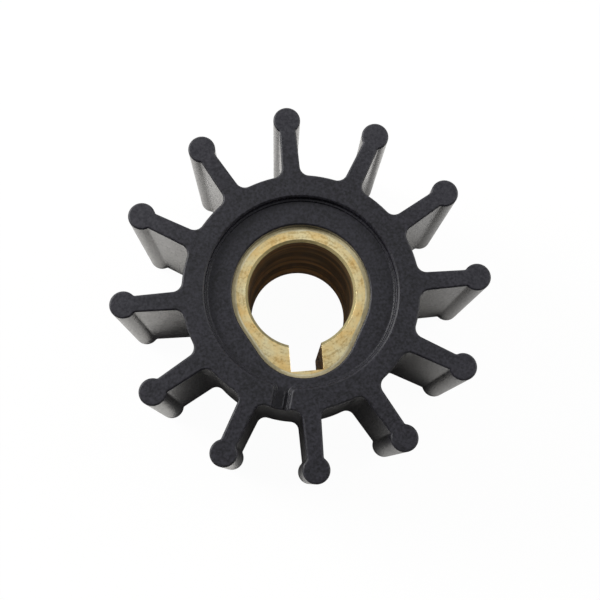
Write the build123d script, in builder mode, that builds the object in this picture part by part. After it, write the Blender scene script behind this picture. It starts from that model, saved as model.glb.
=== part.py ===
"""Flexible impeller of a marine raw-water pump.

A rubber moulding with radial, bulb-tipped blades is bonded round a keyed, drop-shaped brass insert.
The axis is +Z, the origin is on the axis in the back face, and the keyway points along -Y.
"""

import os
from math import hypot

from build123d import *

# Shaft and key that drive the impeller, in millimetres
shaft_diameter = 15.9
shaft_clearance = 0.1
key_width = 4.76
key_clearance = 0.14
keyway_depth = 3.7

# Brass insert: a round body and a smaller nose round the keyway, joined by tangents
insert_wall = 2.4
nose_diameter = 16.0
nose_wall = 1.2
insert_sink = 2.6
bevel_width = 0.65
bevel_depth = 0.3
bore_chamfer = 0.4

# Rubber hub, with a shallow recess in each end whose drafted wall has a low step at its foot
width = 31.0
ledge_width = 1.55
ring_width = 3.35
recess_depth = 1.25
step_width = 0.3
step_height = 0.3
draft_angle = 8.0
edge_chamfer = 0.2
edge_angle = 45.0

# Blades: a stem that thins outwards and ends in a round bulb
blade_count = 12
blade_length = 10.7
bulb_diameter = 4.1
stem_root_thickness = 2.8
stem_tip_thickness = 2.4
root_fillet = 1.5
neck_fillet = 0.4

# Relief slot across the front ring, with a low moulding rib on its floor
slot_width = 2.6
slot_corner_radius = 0.6
rib_width = 0.25
rib_height = 0.25
rib_length = 2.5
rib_offset = 0.4

# Insert, from the shaft outwards
bore_radius = (shaft_diameter + shaft_clearance) / 2
keyway_width = key_width + key_clearance
keyway_reach = bore_radius + keyway_depth
insert_radius = bore_radius + insert_wall
nose_reach = keyway_reach + nose_wall
nose_radius = nose_diameter / 2
insert_length = width - 2 * insert_sink

# Rubber, from the insert outwards
recess_radius = nose_reach + ledge_width
floor_radius = recess_radius - step_width
front_floor_level = width - recess_depth
hub_radius = recess_radius + ring_width
bulb_radius = bulb_diameter / 2
bulb_place = hub_radius + blade_length - bulb_radius
stem_taper = (stem_root_thickness - stem_tip_thickness) / (bulb_place - hub_radius)
stem_axis_thickness = stem_root_thickness + stem_taper * hub_radius

# One blade lies in line with the keyway, and the slot is in the middle of the valley beside it
keyway_angle = -90.0
slot_angle = keyway_angle - 360.0 / blade_count / 2
slot_floor_width = slot_width - 2 * step_width
mouth_radius = slot_corner_radius + step_width + edge_chamfer

# Cuts that widen a recess above its floor: how far out, how deep and at which slope
recess_steps = (
    (step_width, recess_depth - step_height, draft_angle),
    (step_width + edge_chamfer, 2 * edge_chamfer, edge_angle),
)


def axis_distance(edge):
    """Distance of an upright edge from the impeller's axis."""
    middle = edge.center()
    return hypot(middle.X, middle.Y)


# Drop-shaped outline that the insert and its seat in the rubber share
with BuildSketch() as drop:
    Circle(insert_radius)
    with Locations((0, nose_radius - nose_reach)):
        Circle(nose_radius)
    make_hull()

# Brass insert, with bevelled ends, a chamfered bore and the keyway in its nose
with BuildPart() as brass_insert:
    with BuildSketch(Plane.XY.offset(insert_sink)):
        add(drop.sketch)
    extrude(amount=insert_length)
    for end_face in brass_insert.faces().filter_by(Axis.Z):
        chamfer(end_face.edges(), bevel_width, bevel_depth, reference=end_face)
    with BuildSketch(Plane.XY.offset(insert_sink)):
        Circle(bore_radius)
    extrude(amount=insert_length, mode=Mode.SUBTRACT)
    for end_face in brass_insert.faces().filter_by(Axis.Z):
        chamfer(end_face.inner_wires().edges(), bore_chamfer)
    with BuildSketch(Plane.XY.offset(insert_sink)):
        Rectangle(keyway_width, keyway_reach, align=(Align.CENTER, Align.MAX))
    extrude(amount=insert_length, mode=Mode.SUBTRACT)

# Rubber moulding
with BuildPart() as rubber_impeller:
    # Hub with its ring of bulb-tipped blades
    with BuildSketch():
        Circle(hub_radius)
        with PolarLocations(0, blade_count, start_angle=keyway_angle):
            Polygon(
                (0, -stem_axis_thickness / 2),
                (bulb_place, -stem_tip_thickness / 2),
                (bulb_place, stem_tip_thickness / 2),
                (0, stem_axis_thickness / 2),
                align=None,
            )
        with PolarLocations(bulb_place, blade_count, start_angle=keyway_angle):
            Circle(bulb_radius)
    extrude(amount=width)

    # Fillets at the necks of the bulbs, then at the roots of the stems
    uprights = rubber_impeller.edges().filter_by(Axis.Z).group_by(axis_distance, tol_digits=3)
    fillet(uprights[1], neck_fillet)
    uprights = rubber_impeller.edges().filter_by(Axis.Z).group_by(axis_distance, tol_digits=3)
    fillet(uprights[0], root_fillet)
    chamfer(rubber_impeller.faces().filter_by(Axis.Z).edges(), edge_chamfer)

    # Front recess, which opens through the relief slot into a valley
    with BuildSketch(Plane.XY.offset(width)) as front_recess:
        Circle(floor_radius)
        with PolarLocations(0, 1, start_angle=slot_angle):
            Rectangle(bulb_place, slot_floor_width, align=(Align.MIN, Align.CENTER))
        slot_mouth = Vector(floor_radius, 0, 0).rotate(Axis.Z, slot_angle)
        fillet(front_recess.vertices().sort_by_distance(slot_mouth)[:2], mouth_radius)
    extrude(amount=-recess_depth, taper=draft_angle, mode=Mode.SUBTRACT)
    for growth, depth, slope in recess_steps:
        with BuildSketch(Plane.XY.offset(width)):
            offset(front_recess.sketch_local, amount=growth)
        extrude(amount=-depth, taper=slope, mode=Mode.SUBTRACT)

    # Back recess, a plain round one
    with BuildSketch():
        Circle(floor_radius)
    extrude(amount=recess_depth, taper=draft_angle, mode=Mode.SUBTRACT)
    for growth, depth, slope in recess_steps:
        with BuildSketch():
            Circle(floor_radius + growth)
        extrude(amount=depth, taper=slope, mode=Mode.SUBTRACT)

    # Seat of the insert, with chamfered rims in the recess floors, which are the third level from each end
    with BuildSketch():
        add(drop.sketch)
    extrude(amount=width, mode=Mode.SUBTRACT)
    levels = rubber_impeller.faces().filter_by(Axis.Z).group_by(Axis.Z)
    back_floor = levels[2][0]
    front_floor = levels[-3][0]
    chamfer(back_floor.inner_wires().edges() + front_floor.inner_wires().edges(), edge_chamfer)

    # Moulding rib, from the valley inwards
    with BuildSketch(Plane.XY.offset(front_floor_level)):
        with PolarLocations(0, 1, start_angle=slot_angle):
            with Locations((hub_radius - edge_chamfer, rib_offset)):
                Rectangle(rib_length, rib_width, align=(Align.MAX, Align.CENTER))
    extrude(amount=rib_height)

brass_insert.part.label = "brass_insert"
rubber_impeller.part.label = "rubber_impeller"

os.makedirs("parts", exist_ok=True)
export_step(brass_insert.part, "parts/brass_insert.step")
export_step(rubber_impeller.part, "parts/rubber_impeller.step")
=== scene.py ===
"""Studio scene of a flexible pump impeller: moulded rubber bonded round a turned brass insert."""

from math import radians

import bpy
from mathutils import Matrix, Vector

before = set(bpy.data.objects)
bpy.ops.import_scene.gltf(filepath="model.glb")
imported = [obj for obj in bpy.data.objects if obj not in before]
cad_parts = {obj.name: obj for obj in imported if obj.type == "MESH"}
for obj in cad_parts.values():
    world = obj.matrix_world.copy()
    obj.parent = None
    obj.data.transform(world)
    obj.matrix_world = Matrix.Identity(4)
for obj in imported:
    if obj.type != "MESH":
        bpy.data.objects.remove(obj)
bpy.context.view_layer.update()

MM = 0.001
WHITE = (1.0, 1.0, 1.0, 1.0)
UNIT = (0.0, 1.0)

# Rubber: its noise, with scales per metre, the shares of it in the shade, and the colours by shade
RUBBER_CLOUD = {"Scale": 110.0, "Detail": 3.0, "Roughness": 0.55}
RUBBER_GRAIN = {"Scale": 2600.0, "Detail": 3.0, "Roughness": 0.6}
CLOUD_SHARE = 0.2
RUBBER_GRAIN_SHARE = 0.8
RUBBER_DARK = ((0.37, (0.0022, 0.0021, 0.0032)), (0.63, (0.0164, 0.0157, 0.0218)))
# Lighter tips: partly faint bloom, partly painted light where more light falls on the far side
RUBBER_BLOOM_AND_PAINTED_LIGHT = ((0.37, (0.0066, 0.0062, 0.0101)), (0.63, (0.0239, 0.0233, 0.0289)))

# The bloom and its painted light grow outwards over these radii, and the painted light grows from the
# keyway towards the far side, where more light falls, over this span of Y
BLOOM_AND_PAINTED_LIGHT_RADII = (18.0 * MM, 25.0 * MM)
TIP_PAINTED_LIGHT_SPAN = (-26.0 * MM, 4.0 * MM)

# Rubber's gloss and relief, by how squarely a surface faces along the axis
RUBBER_SPECULAR = 0.36
MATT_FACING = (0.2, 0.65)
MATT_ROUGHNESS = (0.23, 0.48)
GRAIN_VALUES = (0.3, 0.7)
GRAIN_ROUGHNESS = (-0.08, 0.08)
RELIEF_FACING = (0.3, 0.9)
RELIEF_SHARE = (0.3, 1.0)
RUBBER_BUMP = 0.5
RUBBER_BUMP_DEPTH = 0.05 * MM
RUBBER_EDGE_RADIUS = 0.22 * MM

# Brass: how squarely its end faces, bevels and slopes face along the axis
END_FACING = (0.94, 0.98)
BEVEL_FACING = (0.78, 0.88)
SLOPE_FACING = (0.1, 0.5)

# Brass: its noise, with scales per metre, and the circle on which the lathe streaks are laid out
LATHE_RINGS = {"Scale": 3500.0, "Detail": 2.0, "Roughness": 0.55}
BORE_BANDS = {"Scale": 450.0, "Detail": 2.0, "Roughness": 0.55}
BLOTCHES = {"Scale": 200.0, "Detail": 6.0, "Roughness": 0.6}
TARNISH = {"Scale": 330.0, "Detail": 3.0, "Roughness": 0.55}
BRASS_GRAIN = {"Scale": 2600.0, "Detail": 2.0, "Roughness": 0.55}
STREAK_CIRCLE = 1.0 * MM

# Brass: shares of the noise in its mottle, and the colours by tarnish, mottle and bands
BLOTCH_SHARE = 0.3
RING_SHARE = 0.35
BRASS_GRAIN_SHARE = 0.35
GOLDEN = ((0.34, (0.97, 0.690, 0.280)), (0.50, (0.97, 0.785, 0.400)), (0.66, (0.97, 0.870, 0.530)))
PATCHES = ((0.41, (0.70, 0.63, 0.52)), (0.50, (0.93, 0.93, 0.93)), (0.59, (1.0, 1.0, 1.0)))
OLIVE = ((0.40, (0.36, 0.31, 0.16)), (0.60, (0.52, 0.45, 0.25)))
DULL = ((0.40, (0.62, 0.53, 0.31)), (0.60, (0.80, 0.70, 0.43)))
BROWN = ((0.36, (0.16, 0.117, 0.070)), (0.50, (0.34, 0.239, 0.134)), (0.64, (0.66, 0.445, 0.224)))

# Painted light on the brass's slopes: lighter on the far side from the keyway and a little to the left,
# darker towards the keyway, where less light reaches them
SLOPE_PAINTED_LIGHT_SKEW = 0.2
SLOPE_PAINTED_LIGHT_SPAN = (-2.0 * MM, 8.0 * MM)
SLOPE_PAINTED_LIGHT_TONE = (0.72, 1.25)

# Worn rim at the top of each bevel, paler with a painted highlight along the edge: its height from the
# insert's middle, broken up by the blotches
INSERT_MIDDLE = 15.5 * MM
RIM_RISE = (12.78 * MM, 12.83 * MM)
RIM_BREAKUP_BLOTCHES = (0.42, 0.58)
RIM_WEAR_AND_HIGHLIGHT_SHARE = (0.0, 0.9)
RIM_WEAR_AND_HIGHLIGHT_COLOUR = (1.0, 0.92, 0.64)

# Brass's gloss and relief: bore to slopes, then what a bevel, an end face and the mottle add
SLOPE_ROUGHNESS = (0.40, 0.78)
BEVEL_ROUGHNESS = (0.0, -0.24)
END_ROUGHNESS = (0.0, -0.45)
MOTTLE_VALUES = (0.40, 0.60)
MOTTLE_ROUGHNESS = (-0.05, 0.05)
BEVEL_METALLIC = (1.0, 0.7)
BEVEL_EASE = 6.0
BRASS_BUMP = 0.35
BRASS_BUMP_DEPTH = 0.03 * MM
BRASS_EDGE_RADIUS = 0.06 * MM
EDGE_SAMPLES = 6

# Floor and world: pale paper, the white that is seen, and the share of it in reflections, which painted
# shade from ambient occlusion takes out near the object
FLOOR_HALF = 3.0
FLOOR_COLOUR = (0.91, 0.885, 0.84, 1.0)
FLOOR_WHITE = 0.97
PAINTED_SHADE_REACH = 30.0 * MM
PAINTED_SHADE_SAMPLES = 8
PAINTED_SHADE_AO_VALUES = (0.3, 1.0)
FLOOR_REFLECTED = (0.0, 0.3)
WORLD_REFLECTED = 0.06
WORLD_SPAN = (-1.0, 1.0)
WORLD_LIGHT = (
    (0.20, (0.04, 0.04, 0.042)),
    (0.50, (0.28, 0.28, 0.288)),
    (0.575, (0.49, 0.495, 0.51)),
    (0.65, (0.92, 0.93, 0.95)),
)

# Lamps: name, place and size in metres, power in watts
LAMP_TARGET = (0, 0, 0.015)
LAMPS = (
    ("key", (-0.42, 0.23, 0.27), 0.25, 3.9),
    ("fill", (0.50, 0.04, 0.26), 0.35, 1.7),
)

# Camera: lens in millimetres, place in metres, turn in degrees
FOCAL_LENGTH = 65.652
SENSOR_WIDTH = 36.0
CLIP_START = 0.01
CAMERA_PLACE = (-6.0437 * MM, -27.5853 * MM, 191.1227 * MM)
CAMERA_TURN = (9.4271, -1.2680, -4.7810)


def node(tree, kind, links=None, **values):
    """Adds a shader node; values set its properties or inputs, and links joins inputs to sockets."""
    made = tree.nodes.new(kind)
    for name, value in values.items():
        if hasattr(made, name):
            setattr(made, name, value)
        else:
            made.inputs[name].default_value = value
    for name, socket in (links or {}).items():
        tree.links.new(socket, made.inputs[name])
    return made


def calc(tree, operation, first, second=None, clamp=False):
    """Adds a Math node; each operand is a socket or a number."""
    made = tree.nodes.new("ShaderNodeMath")
    made.operation = operation
    made.use_clamp = clamp
    for place, operand in enumerate((first, second)):
        if isinstance(operand, bpy.types.NodeSocket):
            tree.links.new(operand, made.inputs[place])
        elif operand is not None:
            made.inputs[place].default_value = operand
    return made.outputs[0]


def product(tree, first, *others):
    """Product of sockets and numbers."""
    for other in others:
        first = calc(tree, "MULTIPLY", first, other)
    return first


def total(tree, first, *others):
    """Sum of sockets."""
    for other in others:
        first = calc(tree, "ADD", first, other)
    return first


def ramp(tree, factor, stops):
    """Adds a ColorRamp with (place, colour) stops and returns its colour."""
    made = tree.nodes.new("ShaderNodeValToRGB")
    elements = made.color_ramp.elements
    while len(elements) < len(stops):
        elements.new(1.0)
    for element, (place, colour) in zip(elements, stops):
        element.position = place
        element.color = (*colour, 1.0)
    tree.links.new(factor, made.inputs[0])
    return made.outputs[0]


def spread(tree, value, span, result=UNIT):
    """Maps a span of a value to a result, and holds it there beyond the span."""
    made = node(tree, "ShaderNodeMapRange", {"Value": value})
    made.inputs["From Min"].default_value, made.inputs["From Max"].default_value = span
    made.inputs["To Min"].default_value, made.inputs["To Max"].default_value = result
    return made.outputs[0]


def mix(tree, factor, first, second, blend="MIX"):
    """Mixes two colours by a factor; each operand is a socket, a colour or a number."""
    made = tree.nodes.new("ShaderNodeMix")
    made.data_type = "RGBA"
    made.blend_type = blend
    for place, operand in ((0, factor), (6, first), (7, second)):
        if isinstance(operand, bpy.types.NodeSocket):
            tree.links.new(operand, made.inputs[place])
        elif isinstance(operand, tuple):
            made.inputs[place].default_value = (*operand, 1.0)
        else:
            made.inputs[place].default_value = operand
    return made.outputs[2]


def noise(tree, place, settings, fourth=None):
    """Adds a noise texture at a place, with a fourth coordinate if given, and returns its value."""
    made = node(tree, "ShaderNodeTexNoise", {"Vector": place}, **settings)
    if fourth is not None:
        made.noise_dimensions = "4D"
        tree.links.new(fourth, made.inputs["W"])
    return made.outputs["Fac"]


def bump(tree, normal, height, strength, distance):
    """Bump of a height on top of a normal."""
    links = {"Height": height, "Normal": normal}
    return node(tree, "ShaderNodeBump", links, Strength=strength, Distance=distance).outputs[0]


def axis_radius(tree, axes):
    """Distance from the impeller's axis, from separated object coordinates."""
    squares = (calc(tree, "POWER", axes[name], 2.0) for name in "XY")
    return calc(tree, "SQRT", total(tree, *squares))


def new_material(name):
    """Returns an empty node material with its tree and the input of its surface."""
    material = bpy.data.materials.new(name)
    material.use_nodes = True
    tree = material.node_tree
    tree.nodes.clear()
    output = tree.nodes.new("ShaderNodeOutputMaterial")
    return material, tree, output.inputs[0]


def piece_material(name):
    """Returns a material, its tree and shader inputs, and a point's place, its axes and its facing."""
    material, tree, surface = new_material(name)
    shader = tree.nodes.new("ShaderNodeBsdfPrincipled")
    tree.links.new(shader.outputs[0], surface)
    coordinates = tree.nodes.new("ShaderNodeTexCoord").outputs
    place = coordinates["Object"]
    axes = node(tree, "ShaderNodeSeparateXYZ", {"Vector": place}).outputs
    normal = node(tree, "ShaderNodeSeparateXYZ", {"Vector": coordinates["Normal"]}).outputs
    return material, tree, shader.inputs, place, axes, normal["Z"]


def rubber_material():
    """Carbon-black rubber: matt end faces, smoother moulded walls, fine grain, and tips lightened partly by
    faint bloom and partly by painted light on the far side.
    """
    material, tree, inputs, place, axes, facing = piece_material("moulded_rubber")
    end_face = calc(tree, "ABSOLUTE", facing)
    cloud = noise(tree, place, RUBBER_CLOUD)
    grain = noise(tree, place, RUBBER_GRAIN)

    shade = total(
        tree,
        product(tree, cloud, CLOUD_SHARE),
        product(tree, grain, RUBBER_GRAIN_SHARE),
    )
    # Tips lighter outwards (faint bloom) and towards the far side from the keyway (painted light)
    outer = spread(tree, axis_radius(tree, axes), BLOOM_AND_PAINTED_LIGHT_RADII)
    tip_light_side = spread(tree, axes["Y"], TIP_PAINTED_LIGHT_SPAN)
    bloom_and_painted_light = product(tree, outer, tip_light_side, end_face)
    colour = mix(tree, bloom_and_painted_light, ramp(tree, shade, RUBBER_DARK), ramp(tree, shade, RUBBER_BLOOM_AND_PAINTED_LIGHT))
    tree.links.new(colour, inputs["Base Color"])
    inputs["Specular IOR Level"].default_value = RUBBER_SPECULAR

    matt = spread(tree, end_face, MATT_FACING, MATT_ROUGHNESS)
    uneven = spread(tree, grain, GRAIN_VALUES, GRAIN_ROUGHNESS)
    tree.links.new(total(tree, matt, uneven), inputs["Roughness"])
    rounded = node(tree, "ShaderNodeBevel", samples=EDGE_SAMPLES, Radius=RUBBER_EDGE_RADIUS)
    relief = product(tree, grain, spread(tree, end_face, RELIEF_FACING, RELIEF_SHARE))
    bumped = bump(tree, rounded.outputs[0], relief, RUBBER_BUMP, RUBBER_BUMP_DEPTH)
    tree.links.new(bumped, inputs["Normal"])
    return material


def brass_material():
    """Turned brass: bright streaked end faces, duller bevels with painted light and a worn rim with a
    painted highlight, a brown and ringed bore.
    """
    material, tree, inputs, place, axes, facing = piece_material("turned_brass")
    end_face = calc(tree, "ABSOLUTE", facing)
    flat = spread(tree, end_face, END_FACING)
    sloped = spread(tree, end_face, SLOPE_FACING)
    bevelled = calc(tree, "SUBTRACT", spread(tree, end_face, BEVEL_FACING), flat)

    # Lathe coordinates: a direction on a small circle, the height, and the radius as a fourth
    radius = axis_radius(tree, axes)
    around = calc(tree, "DIVIDE", STREAK_CIRCLE, radius)
    lathe_axes = {
        "X": product(tree, axes["X"], around),
        "Y": product(tree, axes["Y"], around),
        "Z": axes["Z"],
    }
    lathe = node(tree, "ShaderNodeCombineXYZ", lathe_axes).outputs[0]
    rings = noise(tree, lathe, LATHE_RINGS, radius)
    bands = noise(tree, lathe, BORE_BANDS, radius)
    blotch = noise(tree, place, BLOTCHES)
    tarnish = noise(tree, place, TARNISH)
    grain = noise(tree, place, BRASS_GRAIN)
    mottle = total(
        tree,
        product(tree, blotch, BLOTCH_SHARE),
        product(tree, rings, RING_SHARE),
        product(tree, grain, BRASS_GRAIN_SHARE),
    )

    # Colours of the end faces, the slopes with their painted light, the worn rims with their painted
    # highlight, and the bore
    golden = ramp(tree, tarnish, GOLDEN)
    bright = mix(tree, 1.0, golden, ramp(tree, mottle, PATCHES), "MULTIPLY")
    # Painted light and shade on the slopes: lighter on the far side and a little to the left, darker
    # towards the keyway and the right
    side = calc(tree, "SUBTRACT", axes["Y"], product(tree, axes["X"], SLOPE_PAINTED_LIGHT_SKEW))
    painted_slope_light = spread(tree, side, SLOPE_PAINTED_LIGHT_SPAN, SLOPE_PAINTED_LIGHT_TONE)
    aged = mix(tree, bevelled, ramp(tree, mottle, OLIVE), ramp(tree, mottle, DULL))
    slopes = mix(tree, 1.0, aged, painted_slope_light, "MULTIPLY")
    rise = calc(tree, "ABSOLUTE", calc(tree, "SUBTRACT", axes["Z"], INSERT_MIDDLE))
    broken = spread(tree, blotch, RIM_BREAKUP_BLOTCHES, RIM_WEAR_AND_HIGHLIGHT_SHARE)
    # Worn rim with a painted highlight: a paler colour along the top of each bevel, broken by the blotches
    rubbed_highlight = product(tree, bevelled, spread(tree, rise, RIM_RISE), broken)
    turned = mix(tree, rubbed_highlight, mix(tree, flat, slopes, bright), RIM_WEAR_AND_HIGHLIGHT_COLOUR)
    brown = ramp(tree, bands, BROWN)
    tree.links.new(mix(tree, sloped, brown, turned), inputs["Base Color"])

    # Gloss
    left_dull = calc(tree, "SUBTRACT", bevelled, rubbed_highlight)
    polished = total(tree, flat, rubbed_highlight)
    tree.links.new(spread(tree, left_dull, UNIT, BEVEL_METALLIC), inputs["Metallic"])
    roughness = total(
        tree,
        spread(tree, left_dull, UNIT, BEVEL_ROUGHNESS),
        spread(tree, polished, UNIT, END_ROUGHNESS),
        spread(tree, sloped, UNIT, SLOPE_ROUGHNESS),
        spread(tree, mottle, MOTTLE_VALUES, MOTTLE_ROUGHNESS),
    )
    tree.links.new(roughness, inputs["Roughness"])

    # Lathe rings on softened edges, with the bevels eased towards the end faces
    rounded = node(tree, "ShaderNodeBevel", samples=EDGE_SAMPLES, Radius=BRASS_EDGE_RADIUS)
    raised = product(tree, calc(tree, "SIGN", facing), bevelled, BEVEL_EASE)
    lift = node(tree, "ShaderNodeCombineXYZ", {"Z": raised})
    both = {0: rounded.outputs[0], 1: lift.outputs[0]}
    eased = node(tree, "ShaderNodeVectorMath", both, operation="ADD")
    level = node(tree, "ShaderNodeVectorMath", {0: eased.outputs[0]}, operation="NORMALIZE")
    bumped = bump(tree, level.outputs[0], rings, BRASS_BUMP, BRASS_BUMP_DEPTH)
    tree.links.new(bumped, inputs["Normal"])
    return material


def background_rays(tree, share):
    """White background for the camera and through glass, and a share of it in reflections."""
    path = tree.nodes.new("ShaderNodeLightPath").outputs
    reflected = product(tree, path["Is Glossy Ray"], share)
    onward = total(tree, reflected, path["Is Transmission Ray"])
    return calc(tree, "ADD", path["Is Camera Ray"], onward, clamp=True)


def floor_material():
    """Pale floor that looks white to the camera and still takes the object's shadow; in reflections its
    white has painted shade near the object.
    """
    material, tree, surface = new_material("pale_floor")
    paper = node(tree, "ShaderNodeBsdfDiffuse", Color=FLOOR_COLOUR)
    glow = node(tree, "ShaderNodeEmission", Color=WHITE, Strength=1.0)
    # Painted shade: the white seen in reflections fades by ambient occlusion near the object
    clear = node(tree, "ShaderNodeAmbientOcclusion", samples=PAINTED_SHADE_SAMPLES, Distance=PAINTED_SHADE_REACH)
    share = spread(tree, clear.outputs["AO"], PAINTED_SHADE_AO_VALUES, FLOOR_REFLECTED)
    seen = product(tree, background_rays(tree, share), FLOOR_WHITE)
    blend = node(tree, "ShaderNodeMixShader", {0: seen, 1: paper.outputs[0], 2: glow.outputs[0]})
    tree.links.new(blend.outputs[0], surface)
    return material


def studio_world():
    """Soft light that comes from the far side and fades towards the near side."""
    world = bpy.data.worlds.new("studio")
    world.use_nodes = True
    tree = world.node_tree
    background = tree.nodes["Background"]
    coordinates = tree.nodes.new("ShaderNodeTexCoord")
    direction = node(tree, "ShaderNodeSeparateXYZ", {"Vector": coordinates.outputs["Generated"]})
    light = ramp(tree, spread(tree, direction.outputs["Y"], WORLD_SPAN), WORLD_LIGHT)
    tree.links.new(light, background.inputs["Color"])
    white = node(tree, "ShaderNodeBackground", Color=WHITE, Strength=1.0)
    seen = background_rays(tree, WORLD_REFLECTED)
    sides = {0: seen, 1: background.outputs[0], 2: white.outputs[0]}
    blend = node(tree, "ShaderNodeMixShader", sides)
    tree.links.new(blend.outputs[0], tree.nodes["World Output"].inputs["Surface"])
    return world


def area_light(name, place, size, power):
    """Adds a square soft lamp that points at the part."""
    lamp = bpy.data.lights.new(name, "AREA")
    lamp.shape = "SQUARE"
    lamp.size = size
    lamp.energy = power
    holder = bpy.data.objects.new(name, lamp)
    holder.location = place
    aim = Vector(LAMP_TARGET) - Vector(place)
    holder.rotation_euler = aim.to_track_quat("-Z", "Y").to_euler()
    bpy.context.scene.collection.objects.link(holder)


scene = bpy.context.scene
scene.view_settings.view_transform = "Standard"

# Materials of the two pieces
for name, material in (("rubber_impeller", rubber_material()), ("brass_insert", brass_material())):
    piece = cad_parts[name]
    piece.data.materials.clear()
    piece.data.materials.append(material)

# Floor
floor_mesh = bpy.data.meshes.new("floor")
signs = ((-1, -1), (1, -1), (1, 1), (-1, 1))
corners = [(x * FLOOR_HALF, y * FLOOR_HALF, 0.0) for x, y in signs]
floor_mesh.from_pydata(corners, [], [(0, 1, 2, 3)])
floor_mesh.materials.append(floor_material())
floor = bpy.data.objects.new("floor", floor_mesh)
scene.collection.objects.link(floor)

# World and lamps
scene.world = studio_world()
for name, place, size, power in LAMPS:
    area_light(name, place, size, power)

# Camera at the photograph's angle
lens = bpy.data.cameras.new("camera")
lens.lens = FOCAL_LENGTH
lens.sensor_width = SENSOR_WIDTH
lens.clip_start = CLIP_START
camera = bpy.data.objects.new("camera", lens)
camera.location = CAMERA_PLACE
camera.rotation_euler = [radians(turn) for turn in CAMERA_TURN]
scene.collection.objects.link(camera)
scene.camera = camera
